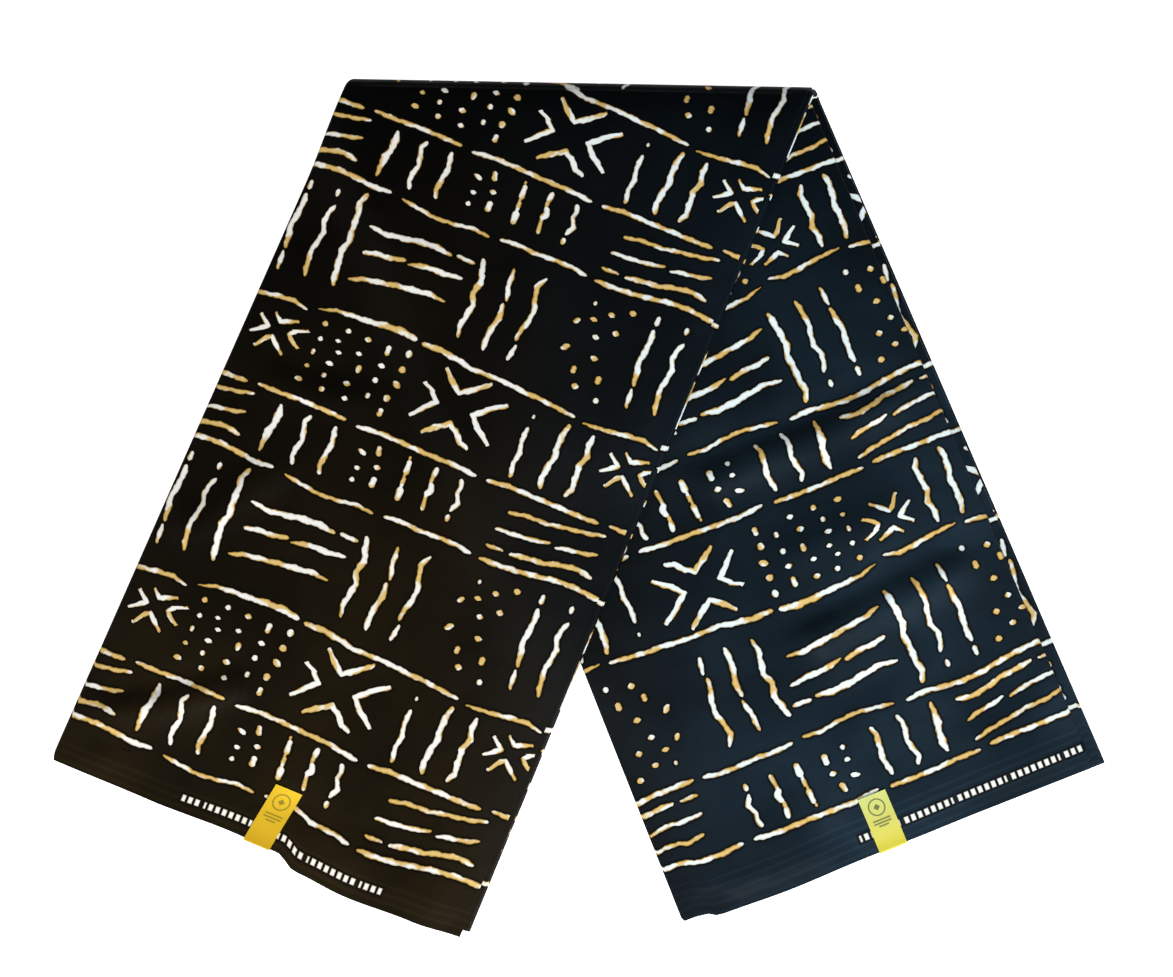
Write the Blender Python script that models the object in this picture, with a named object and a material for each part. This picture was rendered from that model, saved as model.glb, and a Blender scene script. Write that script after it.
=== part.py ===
"""A cut length of wax print cotton, folded into a long strip and laid over itself.

The cloth is folded six layers thick into a strip, and the strip is folded
across at the top, so that it lies as two spread legs: the left leg on top, the
right leg under it. Both ends of the strip are the cloth's finished edges, and
each carries a paper label that is bent over the edge.

Frame: +X right, +Y towards the top fold, +Z up, Z = 0 the surface it lies on,
X = Y = 0 the middle of the footprint. All lengths are in metres.
"""

import bpy
import numpy as np

# The sheet and how it is stacked
SHEET = 0.0010          # thickness of one layer
LAYER_GAP = 0.00035     # air between two layers
LAYERS = 6
PITCH = SHEET + LAYER_GAP
STACK = LAYERS * SHEET + (LAYERS - 1) * LAYER_GAP
LEG_GAP = 0.0021        # air between the upper and the lower leg

# The strip in plan
STRIP_WIDTH = 0.311
FOLD_MIDDLE = (0.0017, 0.2911)
FOLD_SLOPE = np.radians(-1.1)
LEFT_LEAN = np.radians(22.4)
RIGHT_LEAN = np.radians(-21.6)
LEFT_LEG_LENGTH = 0.5775    # along the middle of the strip, fold to end
RIGHT_LEG_LENGTH = 0.5740
UNDER_DRIFT = 0.0045        # how far the right leg's lowest layer has slid out at its end

# The left leg comes down to the surface beside the leg that it lies on
DROP_START = 0.004          # distance past the hidden edge
DROP_WIDTH = 0.045

# Where each layer stops at the strip's right side, counted from the top layer
# of the left leg, and how far each one falls short at the two ends
LAYER_TABLE = (
    # right inset, short at left leg's end, short at right leg's end
    (0.0030, 0.0000, 0.0035),
    (0.0000, 0.0050, 0.0020),
    (0.0000, 0.0065, 0.0025),
    (0.0040, 0.0045, 0.0040),
    (0.0050, 0.0030, 0.0030),
    (0.0050, 0.0055, 0.0000),
)

# Both ends wander a little: share of the width, distance past the straight end
LEFT_END_WANDER = ((0.0, 0.0), (0.24, -0.0010), (0.45, -0.0036), (0.55, -0.0030), (0.60, 0.0040),
                   (0.72, 0.0062), (0.88, 0.0036), (1.0, 0.0))
RIGHT_END_WANDER = ((0.0, -0.0048), (0.055, -0.0048), (0.09, 0.0), (0.25, 0.0014), (0.45, 0.0),
                    (0.55, -0.0004), (0.72, -0.0010), (1.0, -0.0012))
END_ZONE = 0.22             # share of a leg over which its end's wander fades in

# Low swells where the layers lie less flat than elsewhere
SWELLS = (
    # x, y, heading in degrees, half length, half width, share of the stack added
    (-0.300, -0.150, 28.0, 0.070, 0.035, 0.28),
    (-0.240, 0.030, 70.0, 0.090, 0.035, 0.16),
    (-0.060, 0.120, -35.0, 0.100, 0.045, 0.08),
    (0.225, -0.060, 33.0, 0.110, 0.040, 0.20),
    (0.100, -0.250, 80.0, 0.050, 0.030, 0.22),
)

# How finely the faces are cut: shares of a layer's width, then steps, then shares
# of the left leg over the lower leg, of the left leg past it, and of the right leg
ACROSS = (0.0, 0.055, 0.09, 0.25, 0.45, 0.55, 0.60, 0.72, 0.88, 1.0)
SPINE_STEPS = (6, 5, 4)     # round the left side's three nested turns
HEM_STEPS = 4               # round each turn at the right side
BEND_STEPS = 8              # round the top fold
DROP_STEPS = 5
RAISED_SHARES = (0.40, 0.75)
END_SHARES = (0.20, 0.42, 0.62, 0.77, 0.88, 0.95, 1.0)
RIGHT_SHARES = (0.0, 0.15, 0.30, 0.44, 0.56, 0.67, 0.77, 0.85, 0.92, 0.97, 1.0)

# The paper labels, one near the middle of each end
LABEL_SHEET = 0.0006
LABEL_LIFT = 0.0004         # air between a label and the cloth under it
LABEL_BEND = 0.0012         # radius of its turn over the cloth's edge
LABEL_HANG = 0.0030         # how far it hangs in front of the edge
LABEL_STEPS = 6
LABEL_TABLE = (
    # name, leg, share of the width at its middle, width, length, slant in degrees
    ("label_left", "left", 0.501, 0.0195, 0.0427, 8.3),
    ("label_right", "right", 0.504, 0.0203, 0.0383, -0.8),
)

CLOTH_COLOUR = (0.013, 0.012, 0.014, 1.0)
LABEL_COLOUR = (0.62, 0.40, 0.03, 1.0)

# Directions and corners that follow from the sizes above
FOLD_ALONG = np.array([np.cos(FOLD_SLOPE), np.sin(FOLD_SLOPE)])
FOLD_OUT = np.array([-FOLD_ALONG[1], FOLD_ALONG[0]])
LEFT_DOWN = np.array([-np.sin(LEFT_LEAN), -np.cos(LEFT_LEAN)])
RIGHT_DOWN = np.array([-np.sin(RIGHT_LEAN), -np.cos(RIGHT_LEAN)])
MEAN_LEAN = (LEFT_LEAN - RIGHT_LEAN) / 2
FOLD_LENGTH = STRIP_WIDTH / np.cos(MEAN_LEAN)
BEND_INNER = LEG_GAP / 2
BEND_HEIGHT = STACK + BEND_INNER
FOLD_LEFT = np.array(FOLD_MIDDLE) - FOLD_ALONG * FOLD_LENGTH / 2
FOLD_RIGHT = np.array(FOLD_MIDDLE) + FOLD_ALONG * FOLD_LENGTH / 2
EDGE_DIFFERENCE = STRIP_WIDTH * np.tan(MEAN_LEAN) / 2


def smooth(value):
    """Ease from 0 to 1 with a level start and a level finish."""
    value = np.clip(value, 0.0, 1.0)
    return value * value * (3.0 - 2.0 * value)


def lerp(start, end, share):
    """Points a share of the way from start to end, one for each share."""
    share = np.asarray(share)[..., None]
    return np.asarray(start) * (1.0 - share) + np.asarray(end) * share


def leg_corners(leg):
    """The two ends of the fold line and the two corners of a leg's far end."""
    if leg == "left":
        shorter, longer = LEFT_LEG_LENGTH - EDGE_DIFFERENCE, LEFT_LEG_LENGTH + EDGE_DIFFERENCE
        return FOLD_LEFT, FOLD_RIGHT, FOLD_LEFT + LEFT_DOWN * shorter, FOLD_RIGHT + LEFT_DOWN * longer
    shorter, longer = RIGHT_LEG_LENGTH - EDGE_DIFFERENCE, RIGHT_LEG_LENGTH + EDGE_DIFFERENCE
    return FOLD_LEFT, FOLD_RIGHT, FOLD_LEFT + RIGHT_DOWN * longer, FOLD_RIGHT + RIGHT_DOWN * shorter


def ribbon_section():
    """The layers' back-and-forth path in section.

    Gives for each point of the path its place across the strip, its height in
    the stack, the direction of the sheet's normal there and its layer number.
    Height 0 is the lowest face on the left leg. The path starts at the top
    layer's free edge on the right, turns at the left side from layer 1 to 6,
    at the right from 6 to 5, and so on to layer 4's free edge.
    """
    heights = [SHEET / 2 + (LAYERS - 1 - k) * PITCH for k in range(LAYERS)]
    insets = [row[0] for row in LAYER_TABLE]
    spine = STACK / 2           # the left turns share one centre
    hem = PITCH / 2 + SHEET / 2     # how far a right turn stands out from its centre
    rows = []

    def run(layer, to_left):
        turned = layer in (1, 2, 4, 5)
        end = STRIP_WIDTH - insets[layer] - (hem if turned else 0.0)
        across = spine + (end - spine) * np.array(ACROSS)
        normal = 1.0 if to_left else -1.0
        for place in across[::-1] if to_left else across:
            rows.append((place, heights[layer], 0.0, normal, float(layer)))

    def turn(centre_across, first, second, steps, side):
        middle = (heights[first] + heights[second]) / 2
        radius = abs(heights[first] - heights[second]) / 2
        down = 1.0 if heights[first] > heights[second] else -1.0
        facing = 1.0 if side == "left" else -1.0
        for i in range(1, steps):
            angle = np.pi * i / steps
            out = -np.sin(angle) if side == "left" else np.sin(angle)
            up = np.cos(angle) * down
            share = i / steps
            rows.append((centre_across + radius * out, middle + radius * up,
                         out * facing * down, up * facing * down,
                         first * (1 - share) + second * share))

    run(0, True)
    turn(spine, 0, 5, SPINE_STEPS[0], "left")
    run(5, False)
    turn(STRIP_WIDTH - insets[5] - hem, 5, 4, HEM_STEPS, "right")
    run(4, True)
    turn(spine, 4, 1, SPINE_STEPS[1], "left")
    run(1, False)
    turn(STRIP_WIDTH - insets[1] - hem, 1, 2, HEM_STEPS, "right")
    run(2, True)
    turn(spine, 2, 3, SPINE_STEPS[2], "left")
    run(3, False)
    return np.array(rows)


def swell(plan):
    """How much thicker the stack lies at each plan point, 1 where it lies flat."""
    total = np.ones(plan.shape[:-1])
    for x, y, heading, half_length, half_width, share in SWELLS:
        angle = np.radians(heading)
        along = (plan[..., 0] - x) * np.cos(angle) + (plan[..., 1] - y) * np.sin(angle)
        beside = (plan[..., 1] - y) * np.cos(angle) - (plan[..., 0] - x) * np.sin(angle)
        total += share * np.exp(-(along / half_length) ** 2 - (beside / half_width) ** 2)
    return total


def leg_plan(leg, across, from_left, from_right, short=0.0):
    """Plan points on one straight line over a leg.

    The line joins a point on the leg's left edge and one on its right edge,
    given as shares of those edges; across is the place between them, in metres.
    """
    top_left, top_right, end_left, end_right = leg_corners(leg)
    share = across / STRIP_WIDTH
    left = lerp(top_left, end_left, from_left)
    right = lerp(top_right, end_right, from_right)
    points = lerp(left, right, share)
    reach = from_left * (1 - share) + from_right * share
    table = np.array(LEFT_END_WANDER if leg == "left" else RIGHT_END_WANDER)
    wander = np.interp(share, table[:, 0], table[:, 1]) - short
    fade = smooth((reach - (1.0 - END_ZONE)) / END_ZONE)
    down = LEFT_DOWN if leg == "left" else RIGHT_DOWN
    return points + (fade * wander)[..., None] * down


def hidden_edge_shares(distance):
    """Where a line beside the lower leg's hidden left edge crosses the left leg's edges."""
    opening = LEFT_LEAN - RIGHT_LEAN
    start = FOLD_LEFT + LEFT_DOWN * distance / np.sin(opening)
    corners = leg_corners("left")
    matrix = np.array([RIGHT_DOWN, -LEFT_DOWN]).T
    steps = np.linalg.solve(matrix, corners[1] - start)
    left_edge = np.linalg.norm(corners[2] - corners[0])
    right_edge = np.linalg.norm(corners[3] - corners[1])
    return distance / np.sin(opening) / left_edge, steps[1] / right_edge


def left_leg_lines():
    """Rows of (share of left edge, share of right edge, share of the drop), fold to end."""
    top = hidden_edge_shares(DROP_START)
    foot = hidden_edge_shares(DROP_START + DROP_WIDTH)
    lines = [(0.0, 0.0, 0.0)]
    for share in RAISED_SHARES:
        lines.append((top[0] * share, top[1] * share, 0.0))
    for i in range(DROP_STEPS + 1):
        share = i / DROP_STEPS
        lines.append((top[0] + (foot[0] - top[0]) * share, top[1] + (foot[1] - top[1]) * share, share))
    for share in END_SHARES:
        lines.append((foot[0] + (1 - foot[0]) * share, foot[1] + (1 - foot[1]) * share, 1.0))
    return lines


def slip(height, angle):
    """How far a layer is carried along the fold as it winds round it at a slant."""
    return np.tan(MEAN_LEAN) * (BEND_INNER + height) * (angle - np.pi / 2)


def left_leg_point(across, height, from_left, from_right, drop, short):
    """Points of the left leg: plan from the leg, height from the stack and the drop."""
    plan = leg_plan("left", across, from_left, from_right, short)
    plan = plan + slip(height, 0.0)[..., None] * FOLD_ALONG
    base = (STACK + LEG_GAP) * (1.0 - smooth(drop))
    return np.column_stack([plan, base + height * swell(plan)])


def right_leg_point(across, height, share, short):
    """Points of the right leg, whose stack is the left leg's turned over."""
    plan = leg_plan("right", across, share, share, short)
    slide = slip(height, np.pi) + UNDER_DRIFT * share * height / STACK
    plan = plan + slide[..., None] * FOLD_ALONG
    return np.column_stack([plan, (STACK - height) * swell(plan)])


def bend_point(across, height, angle):
    """Points round the top fold, from the left leg (0) to the right leg (half a turn)."""
    radius = BEND_INNER + height
    plan = lerp(FOLD_LEFT, FOLD_RIGHT, across / STRIP_WIDTH)
    plan = plan + (radius * np.sin(angle))[..., None] * FOLD_OUT
    plan = plan + slip(height, angle)[..., None] * FOLD_ALONG
    return np.column_stack([plan, BEND_HEIGHT + radius * np.cos(angle)])


def cloth_stations(across, height, layer):
    """One row of points for each station from the left leg's end to the right leg's end."""
    numbers = np.arange(LAYERS)
    table = np.array(LAYER_TABLE)
    short_left = np.interp(layer, numbers, table[:, 1])
    short_right = np.interp(layer, numbers, table[:, 2])
    stations = []
    for from_left, from_right, drop in reversed(left_leg_lines()):
        stations.append(left_leg_point(across, height, from_left, from_right, drop, short_left))
    for i in range(1, BEND_STEPS):
        stations.append(bend_point(across, height, np.pi * i / BEND_STEPS))
    for share in RIGHT_SHARES:
        stations.append(right_leg_point(across, height, share, short_right))
    return stations


def new_object(name, points, faces, colour, roughness):
    """A named mesh object with its own plain material."""
    mesh = bpy.data.meshes.new(name)
    mesh.from_pydata([tuple(map(float, p)) for p in points], [], faces)
    mesh.validate()
    mesh.shade_smooth()
    mesh.set_sharp_from_angle(angle=np.radians(40.0))
    material = bpy.data.materials.new(name + "_finish")
    material.use_nodes = True
    shader = material.node_tree.nodes["Principled BSDF"]
    shader.inputs["Base Color"].default_value = colour
    shader.inputs["Roughness"].default_value = roughness
    shader.inputs["Metallic"].default_value = 0.0
    mesh.materials.append(material)
    item = bpy.data.objects.new(name, mesh)
    bpy.context.scene.collection.objects.link(item)
    return item


def sheet_faces(place, station_count):
    """Triangles of a ribbon that is carried along stations, with its two ends.

    place holds the outline's points across the ribbon. Every pair of stations is
    split along the diagonal that leans the same way, so stacked layers stay parallel.
    """
    ring = len(place)
    faces = []
    for s in range(station_count - 1):
        here, there = s * ring, (s + 1) * ring
        for i in range(ring):
            j = (i + 1) % ring
            if place[i] <= place[j]:
                faces.append((here + i, there + i, there + j))
                faces.append((here + i, there + j, here + j))
            else:
                faces.append((here + i, there + i, here + j))
                faces.append((there + i, there + j, here + j))
    last = (station_count - 1) * ring
    for i in range(ring // 2 - 1):
        mate, next_mate = ring - 1 - i, ring - 2 - i
        faces.append((i, i + 1, next_mate, mate))
        faces.append((last + i, last + mate, last + next_mate, last + i + 1))
    return faces


def make_cloth():
    """The folded cloth, one closed solid."""
    section = ribbon_section()
    half = SHEET / 2
    upper = section[:, :2] + section[:, 2:4] * half
    lower = section[:, :2] - section[:, 2:4] * half
    outline = np.vstack([upper, lower[::-1]])
    layer = np.concatenate([section[:, 4], section[::-1, 4]])
    stations = cloth_stations(outline[:, 0], outline[:, 1], layer)
    faces = sheet_faces(outline[:, 0], len(stations))
    return new_object("cloth", np.vstack(stations), faces, CLOTH_COLOUR, 0.85)


def make_label(name, leg, centre_share, width, length, slant):
    """One paper label: it lies on the top layer and is bent down over the cloth's edge."""
    centre = np.array([centre_share * STRIP_WIDTH])
    edge = leg_plan(leg, centre, 1.0, 1.0)[0]
    if leg == "left":
        down = LEFT_DOWN
        edge = edge + slip(STACK, 0.0) * FOLD_ALONG
    else:
        down = RIGHT_DOWN
        edge = edge + slip(0.0, np.pi) * FOLD_ALONG
    beside = np.array([-down[1], down[0]])
    turn = np.radians(slant)
    along = down * np.cos(turn) - beside * np.sin(turn)

    # Rows of reach past the cloth's edge, rise over its top, and the paper's normal
    rest = LABEL_LIFT + LABEL_SHEET / 2
    rows = []
    for reach in np.linspace(-length, 0.0, LABEL_STEPS + 1):
        rows.append((reach, rest, 0.0, 1.0))
    for step in range(1, BEND_STEPS // 2 + 1):
        angle = np.pi * step / BEND_STEPS
        out, up = np.sin(angle), np.cos(angle)
        rows.append((LABEL_BEND * out, rest - LABEL_BEND * (1 - up), out, up))
    rows.append((LABEL_BEND, rest - LABEL_BEND - LABEL_HANG, 1.0, 0.0))
    rows = np.array(rows)
    half = rows[:, 2:4] * LABEL_SHEET / 2
    outline = np.vstack([rows[:, :2] + half, (rows[:, :2] - half)[::-1]])
    on_cloth = np.minimum(outline[:, :1], 0.0)
    past_edge = np.maximum(outline[:, :1], 0.0)

    stations = []
    for side in (0.5, 0.0, -0.5):
        under = edge + on_cloth * along + side * width * beside
        height = STACK * swell(under) + outline[:, 1]
        stations.append(np.column_stack([under + past_edge * down, height]))
    faces = sheet_faces(outline[:, 0], len(stations))
    return new_object(name, np.vstack(stations), faces, LABEL_COLOUR, 0.4)


for old in list(bpy.data.objects):
    bpy.data.objects.remove(old, do_unlink=True)
make_cloth()
for row in LABEL_TABLE:
    make_label(*row)
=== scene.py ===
"""Looks of a folded length of wax print cotton with a paper label over each end.

The script follows the piece as a shop hand puts it together: the cloth is folded,
laid over itself and smoothed down, then the two labels are stuck over its ends.
All lengths are in metres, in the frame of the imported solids.
"""

import bpy
import mathutils
import numpy as np
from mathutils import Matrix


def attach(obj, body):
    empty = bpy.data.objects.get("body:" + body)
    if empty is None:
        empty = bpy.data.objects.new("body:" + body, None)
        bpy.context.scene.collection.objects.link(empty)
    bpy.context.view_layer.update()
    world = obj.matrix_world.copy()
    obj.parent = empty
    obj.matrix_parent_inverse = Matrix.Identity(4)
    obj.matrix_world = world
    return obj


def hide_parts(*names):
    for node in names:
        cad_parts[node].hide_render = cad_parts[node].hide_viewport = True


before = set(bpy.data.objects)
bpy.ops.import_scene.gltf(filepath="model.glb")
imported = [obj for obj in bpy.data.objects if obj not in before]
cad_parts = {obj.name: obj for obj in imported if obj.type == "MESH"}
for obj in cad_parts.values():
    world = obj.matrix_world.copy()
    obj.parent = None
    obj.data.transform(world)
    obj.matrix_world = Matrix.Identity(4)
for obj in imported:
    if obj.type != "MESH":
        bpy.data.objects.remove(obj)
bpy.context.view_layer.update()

# The cloth's fold
# One length of cotton, folded back and forth into six layers and then folded over
# itself at the top, so that its left leg lies on its right leg. Both finished edges
# are at the legs' ends, and the right sides show the free edges and two hems.

CLOTH_THICK = 0.0007
LAYERS = 6
LAYER_PITCH = 0.00135       # from the middle of one layer to the next
LOWEST_LAYER = 0.0005       # height of the lowest layer's middle
STACK = (LAYERS - 1) * LAYER_PITCH + 2 * LOWEST_LAYER      # height of all six
HEM_ROOM = (LAYER_PITCH + 0.0010) / 2       # depth of a turn at the right side
HEMMED_LAYERS = (1, 2, 4, 5)                # the others have a free edge there
LEG_GAP = 0.0021            # air between the two legs
STRIP_WIDTH = 0.311
FOLD_MIDDLE = (0.0017, 0.2911)
FOLD_SLOPE = np.radians(-1.1)
LEFT_LEAN = np.radians(22.4)
RIGHT_LEAN = np.radians(-21.6)
LEFT_LEG_LENGTH = 0.5775
RIGHT_LEG_LENGTH = 0.5740
UNDER_DRIFT = 0.0045        # how far the right leg's lowest layer has slid out at its end
DROP_START = 0.004          # the left leg starts to come down this far past the lower leg
DROP_WIDTH = 0.045

# Each layer's right inset, and how short it falls at the left and at the right leg's end
LAYER_TABLE = np.array((
    (0.0030, 0.0000, 0.0035),
    (0.0000, 0.0050, 0.0020),
    (0.0000, 0.0065, 0.0025),
    (0.0005, 0.0045, 0.0040),
    (0.0050, 0.0030, 0.0030),
    (0.0050, 0.0055, 0.0000),
))

# Share of the width, distance past the straight end
LEFT_END_WANDER = np.array((
    (0.0, 0.0), (0.24, -0.0010), (0.45, -0.0036), (0.55, -0.0030),
    (0.60, 0.0040), (0.72, 0.0062), (0.88, 0.0036), (1.0, 0.0),
))
RIGHT_END_WANDER = np.array((
    (0.0, -0.0048), (0.055, -0.0048), (0.09, 0.0), (0.25, 0.0014),
    (0.45, 0.0), (0.55, -0.0004), (0.72, -0.0010), (1.0, -0.0012),
))
END_ZONE = 0.22             # share of a leg over which its end's wander fades in

# Low swells of the whole stack: x, y, heading, half length, half width, share added
SWELLS = (
    (-0.300, -0.150, 28.0, 0.070, 0.035, 0.28),
    (-0.240, 0.030, 70.0, 0.090, 0.035, 0.16),
    (-0.060, 0.120, -35.0, 0.100, 0.045, 0.08),
    (0.225, -0.060, 33.0, 0.110, 0.040, 0.20),
    (0.100, -0.250, 80.0, 0.050, 0.030, 0.22),
)

# How far the print is moved on each layer that shows only as a narrow strip, because
# the real cloth's hidden folds are narrower; the jump is at the hidden left turns
STRIP_PRINT = (0.0, 0.056, 0.056, 0.1066, 0.0, 0.0)

SHOWN_COLUMNS = 56          # steps across a layer that shows
INNER_COLUMNS = 8
SPINE_STEPS = (12, 10, 8)   # round the left side's three nested turns
HEM_STEPS = 6
BEND_STEPS = 16
RAISED_STEPS = 14
DROP_STEPS = 12
LEFT_END_STEPS = 96
RIGHT_STEPS = 120

FOLD_ALONG = np.array([np.cos(FOLD_SLOPE), np.sin(FOLD_SLOPE)])
FOLD_OUT = np.array([-FOLD_ALONG[1], FOLD_ALONG[0]])
LEFT_DOWN = np.array([-np.sin(LEFT_LEAN), -np.cos(LEFT_LEAN)])
RIGHT_DOWN = np.array([-np.sin(RIGHT_LEAN), -np.cos(RIGHT_LEAN)])
MEAN_LEAN = (LEFT_LEAN - RIGHT_LEAN) / 2
FOLD_LENGTH = STRIP_WIDTH / np.cos(MEAN_LEAN)
BEND_INNER = LEG_GAP / 2
BEND_HEIGHT = STACK + BEND_INNER
FOLD_LEFT = np.array(FOLD_MIDDLE) - FOLD_ALONG * FOLD_LENGTH / 2
FOLD_RIGHT = np.array(FOLD_MIDDLE) + FOLD_ALONG * FOLD_LENGTH / 2
EDGE_DIFFERENCE = STRIP_WIDTH * np.tan(MEAN_LEAN) / 2


def smooth(value):
    """Ease from 0 to 1 with a level start and finish: 3 v^2 - 2 v^3."""
    value = np.clip(value, 0.0, 1.0)
    return value * value * (3.0 - 2.0 * value)


def lerp(start, end, share):
    """Points a share of the way from start to end: start (1 - share) + end share."""
    share = np.asarray(share)[..., None]
    return start * (1.0 - share) + end * share


def eased_table(table, place):
    """A table's second column read at a place in its first, eased between its rows."""
    row = np.clip(np.searchsorted(table[:, 0], place, side="right") - 1, 0, len(table) - 2)
    share = smooth((place - table[row, 0]) / (table[row + 1, 0] - table[row, 0]))
    return table[row, 1] * (1 - share) + table[row + 1, 1] * share


def layer_run(layer, columns, to_left):
    """One layer's flat stretch: even places from the left turns' centre to its right end."""
    end = STRIP_WIDTH - LAYER_TABLE[layer, 0] - (HEM_ROOM if layer in HEMMED_LAYERS else 0.0)
    across = np.linspace(STACK / 2, end, columns + 1)
    if to_left:
        across = across[::-1]
    height = LOWEST_LAYER + (LAYERS - 1 - layer) * LAYER_PITCH
    facing = 1.0 if to_left else -1.0
    flat = np.ones_like(across)
    return np.column_stack([across, height * flat, 0 * flat, facing * flat, layer * flat])


def layer_turn(first, second, steps, side):
    """Half a circle between two layers: centre + radius (sin a, cos a), a from 0 to half a turn.

    Columns as in ribbon_section, without the path length.
    """
    heights = LOWEST_LAYER + (LAYERS - 1 - np.array([first, second])) * LAYER_PITCH
    radius = abs(heights[0] - heights[1]) / 2
    down = 1.0 if heights[0] > heights[1] else -1.0
    facing = 1.0 if side == "left" else -1.0
    centre = STACK / 2
    if side == "right":
        centre = STRIP_WIDTH - LAYER_TABLE[first, 0] - HEM_ROOM
    share = np.arange(1, steps) / steps
    out = -facing * np.sin(np.pi * share)
    up = down * np.cos(np.pi * share)
    return np.column_stack([
        centre + radius * out, heights.mean() + radius * up,
        out * facing * down, up * facing * down, first * (1 - share) + second * share,
    ])


def ribbon_section():
    """The cloth's path in section, from the top layer's free edge to the fourth layer's.

    Columns: place across, height in the stack, the sheet's normal (across, up), layer
    number, and path length from the outer left turn's middle, positive on the top layer.
    """
    rows = np.vstack([
        layer_run(0, SHOWN_COLUMNS, True),
        layer_turn(0, 5, SPINE_STEPS[0], "left"),
        layer_run(5, SHOWN_COLUMNS, False),
        layer_turn(5, 4, HEM_STEPS, "right"),
        layer_run(4, INNER_COLUMNS, True),
        layer_turn(4, 1, SPINE_STEPS[1], "left"),
        layer_run(1, INNER_COLUMNS, False),
        layer_turn(1, 2, HEM_STEPS, "right"),
        layer_run(2, INNER_COLUMNS, True),
        layer_turn(2, 3, SPINE_STEPS[2], "left"),
        layer_run(3, INNER_COLUMNS, False),
    ])
    steps = np.linalg.norm(np.diff(rows[:, :2], axis=0), axis=1)
    path = np.concatenate([[0.0], np.cumsum(steps)])
    path = path[SHOWN_COLUMNS + SPINE_STEPS[0] // 2] - path
    layer = np.round(rows[:, 4]).astype(int)
    first_hidden = 2 * SHOWN_COLUMNS + SPINE_STEPS[0] + HEM_STEPS + INNER_COLUMNS
    hidden = np.arange(len(rows)) > first_hidden
    path = path + np.array(STRIP_PRINT)[layer] * hidden
    return np.column_stack([rows, path])


def leg_corners(leg):
    """The two ends of the fold line and the two corners of a leg's far end."""
    difference = EDGE_DIFFERENCE if leg == "left" else -EDGE_DIFFERENCE
    length = LEFT_LEG_LENGTH if leg == "left" else RIGHT_LEG_LENGTH
    down = LEFT_DOWN if leg == "left" else RIGHT_DOWN
    end_left = FOLD_LEFT + down * (length - difference)
    end_right = FOLD_RIGHT + down * (length + difference)
    return FOLD_LEFT, FOLD_RIGHT, end_left, end_right


def leg_plan(leg, across, from_left, from_right, short=0.0):
    """Plan points on lines that join a share of a leg's left edge to one of its right edge.

    Gives the points with the end's wander added, and their distance down the leg
    from the fold's left end before it is added, which is what the print follows.
    """
    top_left, top_right, end_left, end_right = leg_corners(leg)
    down = LEFT_DOWN if leg == "left" else RIGHT_DOWN
    share = across / STRIP_WIDTH
    points = lerp(lerp(top_left, end_left, from_left), lerp(top_right, end_right, from_right), share)
    reach = from_left * (1 - share) + from_right * share
    wander = eased_table(LEFT_END_WANDER if leg == "left" else RIGHT_END_WANDER, share) - short
    fade = smooth((reach - (1.0 - END_ZONE)) / END_ZONE)
    return points + (fade * wander)[..., None] * down, (points - FOLD_LEFT) @ down


def hidden_edge_shares(distance):
    """Where a line beside the lower leg's hidden left edge crosses the left leg's edges."""
    opening = LEFT_LEAN - RIGHT_LEAN
    start = FOLD_LEFT + LEFT_DOWN * distance / np.sin(opening)
    corners = leg_corners("left")
    matrix = np.array([RIGHT_DOWN, -LEFT_DOWN]).T
    steps = np.linalg.solve(matrix, corners[1] - start)
    left_edge = np.linalg.norm(corners[2] - corners[0])
    right_edge = np.linalg.norm(corners[3] - corners[1])
    return np.array([distance / np.sin(opening) / left_edge, steps[1] / right_edge])


def left_leg_lines():
    """Lines over the left leg, fold to end: share of its left and right edge, share of the drop."""
    top = hidden_edge_shares(DROP_START)
    foot = hidden_edge_shares(DROP_START + DROP_WIDTH)
    raised = np.arange(RAISED_STEPS) / RAISED_STEPS
    drop = np.arange(DROP_STEPS) / DROP_STEPS
    down = np.arange(LEFT_END_STEPS + 1) / LEFT_END_STEPS
    return np.vstack([
        np.column_stack([lerp(0.0 * top, top, raised), 0 * raised]),
        np.column_stack([lerp(top, foot, drop), drop]),
        np.column_stack([lerp(foot, 0.0 * foot + 1.0, down), 0 * down + 1.0]),
    ])


def swell(plan):
    """How much thicker the stack lies: 1, plus a share for each swell.

    A swell adds share exp(-(along / half length)^2 - (beside / half width)^2).
    """
    total = np.ones(plan.shape[:-1])
    for x, y, heading, half_length, half_width, share in SWELLS:
        angle = np.radians(heading)
        along = (plan[..., 0] - x) * np.cos(angle) + (plan[..., 1] - y) * np.sin(angle)
        beside = (plan[..., 1] - y) * np.cos(angle) - (plan[..., 0] - x) * np.sin(angle)
        total += share * np.exp(-(along / half_length) ** 2 - (beside / half_width) ** 2)
    return total


def slip(height, angle):
    """How far a layer is carried along the fold as it winds round it at a slant: tan(lean) radius angle."""
    return np.tan(MEAN_LEAN) * (BEND_INNER + height) * (angle - np.pi / 2)


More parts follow.
